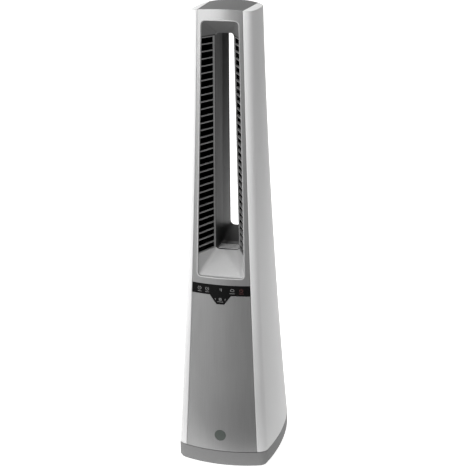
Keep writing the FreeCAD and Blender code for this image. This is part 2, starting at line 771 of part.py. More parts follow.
def ducts():
    """Side ducts that carry the air up from the manifold to the louvres."""
    low, high = size("manifold_top") + size("fit_gap"), size("louvre_high") - 1
    wall = size("duct_skin")
    gap = size("fit_gap")
    outer = duct_space(size("wall") + gap, size("duct_wall") + gap, low, high)
    inner = duct_space(size("wall") + gap + wall, size("duct_wall") + gap + wall, low - 1, high - wall)
    rear_low = -size("throat_front_low") + 6
    rear_high = -size("throat_front_high") + 6
    corners = [(-200, size("louvre_low") - 1), (rear_low, size("louvre_low") - 1),
               (rear_high, size("tower_top")), (-200, size("tower_top"))]
    corners.append(corners[0])
    window = Part.Face(Part.makePolygon([Vector(0, y, z) for y, z in corners]))
    window = window.extrude(Vector(size("lip_half_low") + size("slat_depth") + 1, 0, 0))
    right = outer.cut(inner).cut(window)
    feature("right_duct", right)
    feature("left_duct", right.mirror(Vector(0, 0, 0), Vector(1, 0, 0)))


def rectangle(half, front, back, z, corner):
    """Rounded rectangle in plan."""
    corners = [Vector(x, y, z) for x, y in ((-half, -front), (half, -front), (half, back), (-half, back))]
    edges = []
    for index, point in enumerate(corners):
        before, after = corners[index - 1], corners[(index + 1) % 4]
        start = point + (before - point).normalize() * corner
        finish = point + (after - point).normalize() * corner
        next_start = after + (point - after).normalize() * corner
        edges.append(bezier(start, point, finish))
        edges.append(Part.makeLine(finish, next_start))
    return Part.Wire(edges)


def air_manifold():
    """Plenum that spreads the round blower outlet to the two duct necks."""
    low = size("housing_top")
    high = size("manifold_top")
    centre = size("blower_y")
    radius = size("housing_radius") + size("housing_wall")
    wall = size("housing_wall")

    def space(inset, z_low, z_high):
        round_half = radius - inset
        wires = [
            rectangle(round_half, round_half - centre, round_half + centre, z_low, round_half * 0.75),
            rectangle(size("manifold_half") - inset, size("manifold_front") - inset,
                      size("manifold_back") - inset, z_high, 18 - inset),
        ]
        return Part.makeLoft(wires, True, True)

    shell = space(0, low, high).cut(space(wall, low, high - wall))
    for side in (-1, 1):
        inner = size("neck_inner") + wall
        outer = size("manifold_half") - wall
        corner = Vector(min(side * inner, side * outer), 8 - size("manifold_front"), high - 2 * wall)
        reach = size("manifold_front") + size("manifold_back") - 16
        shell = shell.cut(Part.makeBox(outer - inner, reach, 4 * wall, corner))
    feature("air_manifold", shell)


# ---------------------------------------------------------------- foot

def foot_prism(inset, low, high):
    """Upright block with the foot's outline."""
    wire = plan(size("seam_height"), inset)
    wire.translate(Vector(0, 0, low - size("seam_height")))
    return Part.Face(wire).extrude(Vector(0, 0, high - low))


def corner_points():
    """Places of the four screws that hold the foot together."""
    x, y = size("screw_x"), size("screw_y")
    return [(sx * x, sy * y) for sx in (-1, 1) for sy in (-1, 1)]


def base_cover():
    """Moulded foot cover with screw bosses, the hub opening and the gland hole."""
    low, high = size("feet_thick"), size("seam_height")
    block = foot_prism(0, low, high)
    bottom = [edge for edge in block.Edges if abs(edge.BoundBox.ZMax - low) < 0.01]
    block = block.makeFillet(size("foot_round"), bottom)
    inside = foot_prism(size("foot_wall"), low - 1, high - size("foot_wall"))
    cover = block.cut(inside)
    boss_low = size("plate_top")
    radius = size("screw_radius")
    for x, y in corner_points():
        boss = Part.makeCylinder(radius + size("boss_wall"), high - size("foot_wall") - boss_low,
                                 Vector(x, y, boss_low))
        cover = cover.fuse(boss).cut(Part.makeCylinder(radius, 16, Vector(x, y, boss_low)))
    cover = cover.cut(Part.makeCylinder(size("hub_shoulder") + 1, 20, Vector(0, 0, high - 10)))
    hole = Part.makeCylinder(size("gland_radius") + 0.1, 40,
                             Vector(0, size("gland_start"), size("gland_height")), Vector(0, 1, 0))
    feature("base_cover", cover.cut(hole).removeSplitter())


def base_plate():
    """Bottom plate that closes the foot, with counterbored screw holes."""
    low, high = size("feet_thick"), size("plate_top")
    plate = foot_prism(size("foot_wall") + size("fit_gap"), low, high)
    for x, y in corner_points():
        plate = plate.cut(Part.makeCylinder(size("screw_radius"), 10, Vector(x, y, low - 1)))
        plate = plate.cut(Part.makeCylinder(size("screw_head") + 0.2, size("head_thick"), Vector(x, y, low)))
    feature("base_plate", plate)


def ballast_plate():
    """Steel weight low in the foot."""
    low = size("plate_top")
    block = foot_prism(size("ballast_inset"), low, low + size("ballast_thick"))
    block = block.cut(Part.makeBox(400, 200, 60, Vector(-200, size("ballast_back"), 0)))
    block = block.cut(Part.makeCylinder(size("hub_flange") + 1, 60, Vector(0, 0, 0)))
    around_boss = size("screw_radius") + size("boss_wall") + 1
    for x, y in corner_points():
        block = block.cut(Part.makeCylinder(around_boss, 60, Vector(x, y, 0)))
    feature("ballast_plate", block)


def rubber_feet():
    """Four round feet under the base plate."""
    pads = []
    for index, (sx, sy) in enumerate(((-1, -1), (1, -1), (1, 1), (-1, 1))):
        pads.append(cylinder(f"Foot{index}", "feet_radius", "feet_thick", f"{sx} * feet_x", f"{sy} * feet_y"))
    group("rubber_feet", *pads)


def base_screws():
    """Pan-head screws from the plate into the cover's bosses."""
    screws = []
    for index, (sx, sy) in enumerate(((-1, -1), (1, -1), (1, 1), (-1, 1))):
        place = dict(x=f"{sx} * screw_x", y=f"{sy} * screw_y")
        head = cylinder(f"BaseHead{index}", "screw_head", "head_thick", z="feet_thick", **place)
        shank = cylinder(f"BaseShank{index}", "screw_radius", 14, z="feet_thick + head_thick", **place)
        screws.append(fuse(f"BaseScrew{index}", head, shank))
    group("base_screws", *screws)


def pivot_hub():
    """Hollow pivot post with its flange, thrust shoulder, journal and gear seat."""
    blank = turned("HubBlank", [
        ("hub_bore", "plate_top"), ("hub_flange", "plate_top"), ("hub_flange", "plate_top + 4"),
        ("hub_shoulder", "plate_top + 4"), ("hub_shoulder", "seam_height"), ("hub_neck", "seam_height"),
        ("hub_neck", "gear_low"), ("hub_spigot", "gear_low"),
        ("hub_spigot", "gear_low + gear_face"), ("hub_bore", "gear_low + gear_face"),
    ])
    cut("pivot_hub", blank, *gear_screw_shanks("HubHole"))


def thrust_washer():
    """Low-friction washer that carries the tower's weight."""
    ring = cylinder("WasherDisc", "hub_shoulder", "washer_thick", z="seam_height")
    hole = cylinder("WasherHole", "bush_bore", "washer_thick + 2", z="seam_height - 1")
    cut("thrust_washer", ring, hole)


def gear_shape(teeth, bore, low, turn):
    """Involute spur gear with a plain bore; turn is the angle of one tooth's centre."""
    module = size("gear_module")
    pitch_radius = module * teeth / 2
    base_radius = pitch_radius * math.cos(math.radians(20))
    tip_radius = pitch_radius + module
    root_radius = pitch_radius - 1.25 * module
    half_tooth = math.pi / (2 * teeth) - size("backlash") / (2 * pitch_radius)

    def roll(radius):
        if radius <= base_radius:
            return 0.0
        pressure = math.acos(base_radius / radius)
        return math.tan(pressure) - pressure

    start_radius = max(base_radius, root_radius)
    radii = [start_radius + (tip_radius - start_radius) * step / 5 for step in range(6)]
    edges = []
    first = previous = None
    for tooth in range(teeth):
        centre = turn + 2 * math.pi * tooth / teeth
        angles = [half_tooth + roll(pitch_radius) - roll(radius) for radius in radii]
        rising = [polar(radius, centre - angle) for radius, angle in zip(radii, angles)]
        falling = [polar(radius, centre + angle) for radius, angle in zip(radii, angles)][::-1]
        root_in = polar(root_radius, centre - angles[0])
        root_out = polar(root_radius, centre + angles[0])
        if previous is not None:
            edges.append(Part.makeLine(previous, root_in))
        else:
            first = root_in
        edges += [Part.makeLine(root_in, rising[0])] if start_radius > root_radius else []
        edges.append(spline(rising))
        edges.append(Part.Arc(rising[-1], polar(tip_radius, centre), falling[0]).toShape())
        edges.append(spline(falling))
        edges += [Part.makeLine(falling[-1], root_out)] if start_radius > root_radius else []
        previous = root_out
    edges.append(Part.makeLine(previous, first))
    blank = Part.Face(Part.Wire(edges)).extrude(Vector(0, 0, size("gear_face")))
    blank = blank.cut(Part.makeCylinder(bore, size("gear_face"), Vector(0, 0, 0)))
    blank.translate(Vector(0, 0, low))
    return blank


def polar(radius, angle):
    return Vector(radius * math.cos(angle), radius * math.sin(angle), 0)


def spline(points):
    curve = Part.BSplineCurve()
    curve.interpolate(points)
    return curve.toShape()


GEAR_SCREWS = 3


def gear_screw_place(index):
    angle = 360 * index / GEAR_SCREWS
    return dict(x=f"gear_screw_reach * cos({angle})", y=f"gear_screw_reach * sin({angle})")


def gear_screw_shanks(name):
    """Cylinders where the gear's screws run down into the hub."""
    return [cylinder(f"{name}{index}", "gear_screw", "gear_screw_long",
                     z="gear_low + gear_face - gear_screw_long", **gear_screw_place(index))
            for index in range(GEAR_SCREWS)]


def fixed_gear():
    """Gear fixed on the hub, which also keeps the tower from lifting off."""
    gear = gear_shape(int(size("gear_teeth")), size("hub_spigot"), size("gear_low"), math.pi / 2)
    for index in range(GEAR_SCREWS):
        place = polar(size("gear_screw_reach"), 2 * math.pi * index / GEAR_SCREWS)
        gear = gear.cut(Part.makeCylinder(size("gear_screw"), 80, place))
    feature("fixed_gear", gear)


def gear_screws():
    """Screws that clamp the gear to the hub's shoulder."""
    screws = []
    for index, shank in enumerate(gear_screw_shanks("GearShank")):
        head = cylinder(f"GearHead{index}", "2 * gear_screw", 1.6, z="gear_low + gear_face",
                        **gear_screw_place(index))
        screws.append(fuse(f"GearScrew{index}", head, shank))
    group("gear_screws", *screws)


def cord_gland():
    """Plain bush in the rear wall of the foot that the cord passes through."""
    reach = "(gland_inside + foot_wall + 0.4)"
    tube = lying_cylinder("GlandTube", "gland_radius", reach, y="gland_start", z="gland_height")
    flange = lying_cylinder("GlandFlange", "gland_radius + 2.5", 3, y="back_foot - foot_wall - 3.4",
                            z="gland_height")
    bore = lying_cylinder("GlandBore", "gland_bore", f"{reach} + 4", y="gland_start - 2", z="gland_height")
    cut("cord_gland", fuse("GlandBody", tube, flange), bore)


def terminal_block():
    """Screw terminals on the base plate beside the gland."""
    beside, behind = "(hub_shoulder)", "(ballast_back + 20)"
    housing = box("TerminalHousing", 34, 14, 13, beside, behind, "plate_top")
    wells = []
    for index in range(3):
        along = f"{beside} + {10 * (index - 1)}"
        wells.append(cylinder(f"TerminalWell{index}", 2.2, 8, along, behind, "plate_top + 6"))
    cut("terminal_block", housing, *wells)


# ---------------------------------------------------------------- turntable in the tower

def turntable_bush():
    """Flanged bush that turns on the hub's journal."""
    turned("turntable_bush", [
        ("bush_bore", "bush_low"), ("bush_flange", "bush_low"), ("bush_flange", "floor_low"),
        ("bush_bore + bush_wall", "floor_low"), ("bush_bore + bush_wall", "bush_low + bush_tall"),
        ("bush_bore", "bush_low + bush_tall"),
    ])


def tower_floor():
    """Chassis plate that carries the blower and closes the tower's underside."""
    low, high = size("floor_low"), size("floor_top")
    wire = plan(high, size("wall") + size("fit_gap"))
    plate = Part.Face(wire).extrude(Vector(0, 0, low - high))
    hole = value("bush_bore + bush_wall")
    feature("tower_floor", plate.cut(Part.makeCylinder(hole, 80)))


def swing_drive():
    """Gear motor that turns the tower, its posts, output shaft and pinion."""
    posts = [box(f"SwingPost{side}", 7, "swing_ear", "swing_post", f"{side} * (swing_span - 7) / 2",
                 "pinion_y", "floor_top") for side in (-1, 1)]
    group("swing_posts", *posts)
    seat = "(floor_top + swing_post)"
    ears = box("SwingEars", "swing_span", "swing_ear", 1.5, 0, "pinion_y", seat)
    can = cylinder("SwingCan", "swing_can", "swing_tall", 0, "pinion_y", seat)
    socket = cylinder("SwingSocket", "swing_shaft_radius + running_gap", 10, 0, "pinion_y", f"{seat} - 1")
    cut("swing_motor", fuse("SwingBody", ears, can), socket)
    cylinder("swing_shaft", "swing_shaft_radius", f"{seat} + 7.5 - gear_low", 0, "pinion_y", "gear_low - 0.5")
    teeth = int(size("pinion_teeth"))
    pinion = gear_shape(teeth, size("swing_shaft_radius"), size("gear_low"), -math.pi / 2 + math.pi / teeth)
    pinion.translate(Vector(0, size("pinion_y"), 0))
    feature("drive_pinion", pinion)


# ---------------------------------------------------------------- blower

def at_blower(item):
    """Move a piece built about Z to the blower's axis."""
    item.setExpression("Placement.Base.y", expression("blower_y"))
    return item


def motor_carrier():
    """Four posts with a cross that holds the motor deck."""
    pieces = [cylinder("CarrierDeck", "deck_radius", "deck_thick", 0, "blower_y", "carrier_deck")]
    for index, angle in enumerate((45, 135, 225, 315)):
        x, y = f"carrier_reach * cos({angle})", f"blower_y + carrier_reach * sin({angle})"
        pieces.append(cylinder(f"CarrierPost{index}", "carrier_post", "inlet_height - floor_top",
                               x, y, "floor_top"))
    for index, angle in enumerate((45, 135)):
        arm = doc.addObject("Part::Box", f"CarrierArm{index}")
        arm.Placement.Rotation = Rotation(Vector(0, 0, 1), angle)
        bind(arm, Length="2 * carrier_reach", Width="carrier_arm", Height="deck_thick",
             x=f"carrier_arm / 2 * sin({angle}) - carrier_reach * cos({angle})",
             y=f"blower_y - carrier_reach * sin({angle}) - carrier_arm / 2 * cos({angle})", z="carrier_deck")
        pieces.append(arm)
    hole = cylinder("CarrierHole", "bearing_radius + 1", 20, 0, "blower_y", "carrier_deck - 5")
    cut("motor_carrier", fuse("CarrierBody", *pieces), hole)


def motor_isolators():
    """Rubber rings between the motor and its deck."""
    rings = []
    for index in range(3):
        angle = 90 + 120 * index
        x, y = f"isolator_reach * cos({angle})", f"blower_y + isolator_reach * sin({angle})"
        rings.append(cylinder(f"Isolator{index}", "isolator_radius", "isolator_thick", x, y,
                              "carrier_deck + deck_thick"))
    group("motor_isolators", *rings)


def motor():
    """Motor can with end bearings, wound stator, magnet rotor and shaft."""
    seat_low, seat_high = "(motor_low + bearing_tall + motor_wall)", "(motor_top - bearing_tall - motor_wall)"
    neck, inside = "(bearing_radius + motor_wall)", "(motor_radius - motor_wall)"
    at_blower(turned("motor_can", [
        ("bearing_radius", "motor_low"), ("motor_radius", "motor_low"), ("motor_radius", "motor_top"),
        ("bearing_radius", "motor_top"), ("bearing_radius", seat_high), (neck, seat_high),
        (neck, "motor_top - motor_wall"), (inside, "motor_top - motor_wall"),
        (inside, "motor_low + motor_wall"), (neck, "motor_low + motor_wall"),
        (neck, seat_low), ("bearing_radius", seat_low),
    ]))
    bore = "(shaft_radius + running_gap)"
    for name, low in (("lower_bearing", "motor_low"), ("upper_bearing", "(motor_top - bearing_tall)")):
        high = f"{low} + bearing_tall"
        at_blower(turned(name, [
            (bore, low), ("bearing_radius", low), ("bearing_radius", high), (bore, high),
        ]))
    low, high = f"({seat_low} + 3.5)", f"({seat_high} - 3.5)"
    at_blower(turned("motor_stator", [("rotor_radius + air_gap", low), (inside, low),
                                      (inside, high), ("rotor_radius + air_gap", high)]))
    at_blower(turned("magnet_rotor", [("shaft_radius", low), ("rotor_radius", low),
                                      ("rotor_radius", high), ("shaft_radius", high)]))
    cylinder("motor_shaft", "shaft_radius", "impeller_top - motor_low + 6", 0, "blower_y", "motor_low - 2")


def impeller():
    """Mixed-flow impeller: a cone hub with leaning blades."""
    body = turned("impeller", [
        ("shaft_radius", "impeller_low"), ("cone_radius", "impeller_low"),
        ("cone_radius + 8", "impeller_low + impeller_tall / 4"),
        ("impeller_radius - 12", "impeller_top - 6"), ("impeller_radius", "impeller_top - 2.5"),
        ("impeller_radius", "impeller_top"), ("shaft_radius", "impeller_top"),
    ])
    add_vanes(body, "Blade", [
        ("cone_radius - 2", -1), ("impeller_radius - 2", 22), ("impeller_radius - 2.6", 24),
        ("cone_radius - 2", 1),
    ], "impeller_low", "impeller_tall - 1", "impeller_blades")
    at_blower(body)


def shaft_nut():
    """Nut that holds the impeller on the shaft."""
    nut = doc.addObject("Part::Prism", "NutBlank")
    nut.Polygon = 6
    bind(nut, Circumradius="shaft_radius + 3.5", Height=3.4, y="blower_y", z="impeller_top")
    hole = cylinder("NutHole", "shaft_radius", 10, 0, "blower_y", "impeller_top - 3")
    cut("shaft_nut", nut, hole)


def blower_housing():
    """Round housing with its mounting flange and curved inlet."""
    outer = "(housing_radius + housing_wall)"
    at_blower(turned("blower_housing", [
        ("inlet_radius + 8", "inlet_height"), ("carrier_reach + 6", "inlet_height"),
        ("carrier_reach + 6", "inlet_height + 3"), (outer, "inlet_height + 3"), (outer, "housing_top"),
        ("housing_radius", "housing_top"), ("housing_radius", "inlet_height + 3"),
        ("inlet_radius + 8", "inlet_height + 3"),
    ]))


def inlet_ring():
    """Bell-mouth ring that leads air into the impeller."""
    at_blower(turned("inlet_ring", [
        ("inlet_radius + 1.5", "inlet_height - 6"), ("inlet_radius + 8", "inlet_height - 8"),
        ("inlet_radius + 12", "inlet_height - 3"), ("inlet_radius + 12", "inlet_height"),
        ("inlet_radius + 8", "inlet_height"), ("inlet_radius + 8", "inlet_height + 3"),
        ("inlet_radius + 1.5", "inlet_height + 3"), ("inlet_radius - 0.5", "inlet_height"),
    ]))


def diffuser():
    """Ring of straightening vanes above the impeller."""
    low, high = "(impeller_top + 8)", "(impeller_top + 8 + diffuser_tall)"
    body = turned("diffuser", [
        ("diffuser_hub - 10", low), ("diffuser_hub", low),
        ("diffuser_hub", high), ("diffuser_hub - 10", high),
    ])
    add_vanes(body, "Vane", [
        ("diffuser_hub - 4", -1), ("housing_radius - 1.2", 8), ("housing_radius - 1.2", 10),
        ("diffuser_hub - 4", 1),
    ], low, "diffuser_tall", "diffuser_vanes")
    at_blower(body)


# ---------------------------------------------------------------- electrics

def power_board():
    """Supply board in front of the motor, with its tall components."""
    board = box("PowerSheet", "supply_wide", "board_thick", "supply_tall", 0, "-supply_reach", "supply_low")
    transformer = box("PowerTransformer", 26, 18, 30, -22, "supply_back + 9", "supply_low + 13")
    capacitor = lying_cylinder("PowerCapacitor", 8, 20, 18, "supply_back", "supply_low + 27")
    heat_sink = box("PowerHeatSink", 34, 12, 22, 14, "supply_back + 6", "supply_low + 57")
    fuse("power_board", board, transformer, capacitor, heat_sink)


def board_brackets():
    """Two moulded brackets that hold the supply board on the floor."""
    brackets = [box(f"Bracket{side}", 6, 12, "bracket_tall", f"{side} * (supply_wide / 2 - 4)",
                    "-supply_reach", "floor_top") for side in (-1, 1)]
    group("board_brackets", *brackets)


def strip_back(x, z):
    """Depth of the control strip's inner face."""
    face = flare("front", z) - size("wall")
    return bow(size("front_radius") - size("wall"), abs(x)) - face


def panel_board_place():
    """Depth of the control board's front face and height of its lower edge."""
    middle = (size("strip_low") + size("strip_high")) / 2
    return strip_back(0, middle) + size("panel_board_back") - size("board_thick"), size("tab_low") + 6


def control_board():
    """Touch and display board behind the control strip."""
    front, low = panel_board_place()
    box("control_board", "panel_board_wide", "board_thick", "panel_board_tall",
        0, f"{front} + board_thick / 2", low)


def touch_springs():
    """Contact springs between the board and the strip, one per touch symbol."""
    front = panel_board_place()[0]
    upper, lower = size("strip_low") + 10, size("strip_low") - 9
    places = [(-43, upper), (-27.5, upper), (24.3, upper), (42.3, upper), (-10.5, lower), (10.5, lower)]
    pads = []
    for index, (x, z) in enumerate(places):
        tip = max(strip_back(abs(x) + side * size("touch_radius"), z) for side in (-1, 1)) + 0.2
        pads.append(lying_cylinder(f"TouchPad{index}", "touch_radius", front - tip, x, tip, z))
    group("touch_springs", *pads)


def display_module():
    """Digit display behind the middle of the strip."""
    front = panel_board_place()[0]
    box("display_module", 20, 4, 12, 0, front - 2, "strip_low + 5")


def cable(name, radius, points):
    """Round cable along straight runs joined by tangent arcs."""
    edges = []
    here = points[0]
    for before, corner, after in zip(points, points[1:], points[2:]):
        entry, leave = (before - corner).normalize(), (after - corner).normalize()
        half_turn = (math.pi - entry.getAngle(leave)) / 2
        reach = 0.45 * min((before - corner).Length, (after - corner).Length)
        start, finish = corner + entry * reach, corner + leave * reach
        bend_radius = reach / math.tan(half_turn)
        middle = corner + (entry + leave).normalize() * (bend_radius / math.cos(half_turn) - bend_radius)
        edges += [Part.makeLine(here, start), Part.Arc(start, middle, finish).toShape()]
        here = finish
    edges.append(Part.makeLine(here, points[-1]))
    path = Part.Wire(edges)
    section = Part.Wire(Part.Circle(points[0], points[1] - points[0], radius).toShape())
    feature(name, path.makePipeShell([section], True, False))


def cables():
    """Leads that stay clipped inside the tower."""
    board_back, board_low = size("supply_back"), size("supply_low")
    front = size("blower_y") - size("motor_radius")
    entry = size("motor_low") + 10
    clip = front - 15
    cable("motor_lead", size("motor_lead_radius"), [
        Vector(0, board_back, board_low + 13), Vector(0, clip - 10, board_low + 13),
        Vector(0, clip, board_low + 31), Vector(0, clip, entry), Vector(0, front, entry)])
    start = size("supply_back") - size("board_thick") - size("panel_lead_radius")
    panel_front, panel_low = panel_board_place()
    foot = board_low + size("supply_tall") - 13
    rise = panel_low - foot
    edge = panel_front + size("board_thick") / 2
    cable("panel_lead", size("panel_lead_radius"), [
        Vector(30, start, foot), Vector(30, start - 3, foot + rise / 8),
        Vector(30, start - 3, foot + rise / 2),
        Vector(30, edge, panel_low - rise / 8), Vector(30, edge, panel_low)])


def build():
    """Make every sub-part."""
    for make in (side_shells, front_frame, front_panel, badge, control_lens, top_cap, rear_frame,
                 rear_cover, intake_filter, scoops, channel_liner, louvres, ducts, air_manifold,
                 base_cover, base_plate, ballast_plate, rubber_feet, base_screws, pivot_hub,
                 thrust_washer, fixed_gear, gear_screws, cord_gland, terminal_block, turntable_bush,
                 tower_floor, swing_drive, motor_carrier, motor_isolators, motor, impeller, shaft_nut,
                 blower_housing, inlet_ring, diffuser, power_board, board_brackets, control_board,
                 touch_springs, display_module, cables):
        make()


NODES = [
    "left_shell", "right_shell", "front_frame", "front_panel", "badge_disc", "control_lens", "top_cap",
    "rear_frame", "rear_cover", "intake_filter", "lower_scoop", "upper_scoop", "channel_liner", "left_louvre",
    "right_louvre", "left_duct", "right_duct", "air_manifold", "base_cover", "base_plate", "ballast_plate",
    "rubber_feet", "base_screws", "pivot_hub", "thrust_washer", "fixed_gear", "gear_screws", "cord_gland",
    "terminal_block", "turntable_bush", "tower_floor", "swing_posts", "swing_motor", "swing_shaft",
    "drive_pinion", "motor_carrier", "motor_isolators", "motor_can", "lower_bearing", "upper_bearing",
    "motor_stator", "magnet_rotor", "motor_shaft", "impeller", "shaft_nut", "blower_housing", "inlet_ring",
    "diffuser", "power_board", "board_brackets", "control_board", "touch_springs", "display_module",
    "motor_lead", "panel_lead",
]


def export():
    """Check every object, then write one STEP file for each sub-part."""
    doc.recompute()
    faults = [item.Name for item in doc.Objects if {"Invalid", "Error"} & set(item.State)]
    for name in NODES:
        item = doc.getObject(name)
        item.Label = name
        if item.Shape.isNull() or not item.Shape.isValid() or item.Shape.Volume <= 0:
            faults.append(name)
    if faults:
        raise RuntimeError(f"failed objects: {faults}")
    os.makedirs("parts", exist_ok=True)
    for name in NODES:
        doc.getObject(name).Shape.exportStep(f"parts/{name}.step")


build()
export()
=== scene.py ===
"""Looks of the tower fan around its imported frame. Metres, +Z up, front towards -Y."""
import json
import math

import bpy
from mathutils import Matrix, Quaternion, Vector
from mathutils.bvhtree import BVHTree


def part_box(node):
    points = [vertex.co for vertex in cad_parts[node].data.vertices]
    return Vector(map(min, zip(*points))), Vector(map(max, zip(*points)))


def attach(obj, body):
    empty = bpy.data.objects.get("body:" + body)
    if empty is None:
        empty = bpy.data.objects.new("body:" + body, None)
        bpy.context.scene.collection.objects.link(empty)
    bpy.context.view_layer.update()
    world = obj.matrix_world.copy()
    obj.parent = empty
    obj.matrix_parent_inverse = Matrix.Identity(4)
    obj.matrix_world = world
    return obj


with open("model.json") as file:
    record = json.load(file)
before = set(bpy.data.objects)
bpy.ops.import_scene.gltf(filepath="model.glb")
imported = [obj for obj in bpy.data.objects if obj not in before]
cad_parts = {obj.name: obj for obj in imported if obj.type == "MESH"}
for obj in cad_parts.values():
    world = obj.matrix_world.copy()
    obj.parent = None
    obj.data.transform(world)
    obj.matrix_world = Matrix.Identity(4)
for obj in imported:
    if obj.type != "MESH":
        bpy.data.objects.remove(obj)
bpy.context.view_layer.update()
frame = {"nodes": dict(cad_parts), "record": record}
NODES = frame["nodes"]
scene = bpy.context.scene

# Painted shade in the gap between foot and tower: its heights, and the tone left at its bottom.
GAP_SHADE_LOW, GAP_SHADE_HIGH = 0.0346, 0.0362
GAP_SHADE_TONE = 0.25
# Where the painted shade towards the foot starts, and where it ends on paint finishes and on white
# parts.
SHADE_START = 0.03
PAINT_SHADE_END = 0.22
SHELL_SHADE_END = 0.5

# ---------------------------------------------------------------- shader expressions

class Value:
    """A socket that takes part in arithmetic."""

    def __init__(self, shader, socket):
        self.shader = shader
        self.socket = socket

    def math(self, operation, *others):
        return self.shader.node("ShaderNodeMath", {"operation": operation}, self, *others)

    def __add__(self, other):
        return self.math("ADD", other)

    __radd__ = __add__

    def __sub__(self, other):
        return self.math("SUBTRACT", other)

    def __rsub__(self, other):
        return self.shader.node("ShaderNodeMath", {"operation": "SUBTRACT"}, other, self)

    def __mul__(self, other):
        return self.math("MULTIPLY", other)

    __rmul__ = __mul__

    def clamp(self):
        return self.shader.node("ShaderNodeClamp", {}, self, 0.0, 1.0)

    def ramp(self, low, high):
        """0 below low, 1 above high, smooth between."""
        return self.shader.node("ShaderNodeMapRange", {"interpolation_type": "SMOOTHSTEP"},
                                self, low, high, 0.0, 1.0)


class Shader:
    """One material and its nodes."""

    def __init__(self, name):
        self.material = bpy.data.materials.new(name)
        self.material.use_nodes = True
        self.tree = self.material.node_tree
        self.tree.nodes.clear()
        self.output = self.tree.nodes.new("ShaderNodeOutputMaterial")
        self.principled = self.tree.nodes.new("ShaderNodeBsdfPrincipled")
        self.tree.links.new(self.principled.outputs[0], self.output.inputs["Surface"])

    def node(self, kind, settings, *inputs, out=0, **named):
        """Any node: its type, its settings, then its sockets' values or links."""
        made = self.tree.nodes.new(kind)
        for key, setting in settings.items():
            setattr(made, key, setting)
        for index, given in enumerate(inputs):
            self.feed(made.inputs[index], given)
        for key, given in named.items():
            self.feed(made.inputs[key.replace("_", " ")], given)
        return Value(self, made.outputs[out])

    def feed(self, socket, given):
        if isinstance(given, Value):
            self.tree.links.new(given.socket, socket)
        elif given is not None:
            socket.default_value = given

    def position(self):
        return self.node("ShaderNodeTexCoord", {}, out="Object")

    def axes(self):
        """The x, y and z of the object's own space."""
        split = self.node("ShaderNodeSeparateXYZ", {}, self.position()).socket.node
        return [Value(self, socket) for socket in split.outputs]

    def noise(self, scale, detail=3.0, stretch=(1, 1, 1), roughness=0.5):
        where = self.node("ShaderNodeMapping", {}, self.position(), Scale=stretch)
        return self.node("ShaderNodeTexNoise", {},
                         Vector=where, Scale=scale, Detail=detail, Roughness=roughness)

    def with_painted_shade(self, tone, shade, low, high):
        """The tone with painted shade towards the foot, and painted shade along the gap over it."""
        height = self.axes()[2]
        # Painted shade: darker towards the foot.
        above = height.ramp(low, high) * (1 - shade) + shade
        # Painted shade: a dark band along the gap between foot and tower.
        gap_shade = height.ramp(GAP_SHADE_LOW, GAP_SHADE_HIGH) * (1 - GAP_SHADE_TONE) + GAP_SHADE_TONE
        return tone * above * gap_shade

    def mix(self, factor, first, second):
        made = self.tree.nodes.new("ShaderNodeMix")
        made.data_type = "RGBA"
        for name, given in (("Factor_Float", factor), ("A_Color", first), ("B_Color", second)):
            socket = next(item for item in made.inputs if item.identifier == name)
            self.feed(socket, given)
        return Value(self, next(item for item in made.outputs if item.identifier == "Result_Color"))

    def bump(self, height, strength, distance, normal=None):
        return self.node("ShaderNodeBump", {},
                         Strength=strength, Distance=distance, Height=height, Normal=normal)

    def rounded(self, radius):
        """The shading normal of edges rounded by radius."""
        return self.node("ShaderNodeBevel", {"samples": 8}, Radius=radius)

    def finish(self, **sockets):
        for key, given in sockets.items():
            self.feed(self.principled.inputs[key.replace("_", " ")], given)
        return self.material


def grey(level, tint=(1.0, 1.0, 1.0)):
    return (level * tint[0], level * tint[1], level * tint[2], 1.0)


def metallic_paint(name, level, roughness, flow=(60, 60, 0.6), contrast=1.0,
                   metallic=0.75, coat=0.35, specular=0.5, shade=None):
    """Metallic paint: fine flake, faint flow lines and a slow cloud."""
    paint = Shader(name)
    streak = paint.noise(9.0, 4.0, flow, 0.6)
    cloud = paint.noise(6.0, 2.0)
    flake = paint.noise(1600.0, 1.0)
    tone = (streak * 0.5 + cloud * 0.25 + flake * 0.25 - 0.5) * contrast + 0.5
    if shade is None:
        base = paint.mix(tone.clamp(), grey(level * 0.82), grey(level * 1.18))
    else:
        uneven = tone.clamp() * 0.36 + 0.82
        # Painted shade towards the foot and along the gap above it.
        level_here = paint.with_painted_shade(uneven * level, shade, SHADE_START, PAINT_SHADE_END)
        base = paint.mix(level_here, grey(0.0), grey(1.0))
    return paint.finish(Base_Color=base, Roughness=streak * 0.10 + (roughness - 0.05),
                        Metallic=metallic, Specular_IOR_Level=specular,
                        Coat_Weight=coat, Coat_Roughness=0.12,
                        Normal=paint.bump(streak * 0.6 + flake * 0.4, 0.06, 0.0004))


def moulded(name, level, tint=(1, 1, 1), roughness=0.4, grain=900.0, depth=0.10,
            coat=0.0, metallic=0.0, edge=0.0004, specular=0.5, shade=None):
    """Injection-moulded plastic with a fine grain."""
    plastic = Shader(name)
    fine = plastic.noise(grain, 2.0)
    cloud = plastic.noise(5.0, 3.0)
    uneven = cloud * 0.6 + fine * 0.4
    base = plastic.mix(uneven, grey(level * 0.93, tint), grey(level * 1.07, tint))
    if shade is not None:
        # Painted shade towards the foot and along the gap above it.
        lit = plastic.with_painted_shade(1.0, shade, SHADE_START, SHELL_SHADE_END)
        base = plastic.mix(lit, grey(0.0), base)
    return plastic.finish(Base_Color=base, Roughness=cloud * 0.10 + (roughness - 0.05),
                          Metallic=metallic, Specular_IOR_Level=specular,
                          Coat_Weight=coat, Coat_Roughness=0.08,
                          Normal=plastic.bump(fine, depth, 0.0003, plastic.rounded(edge)))


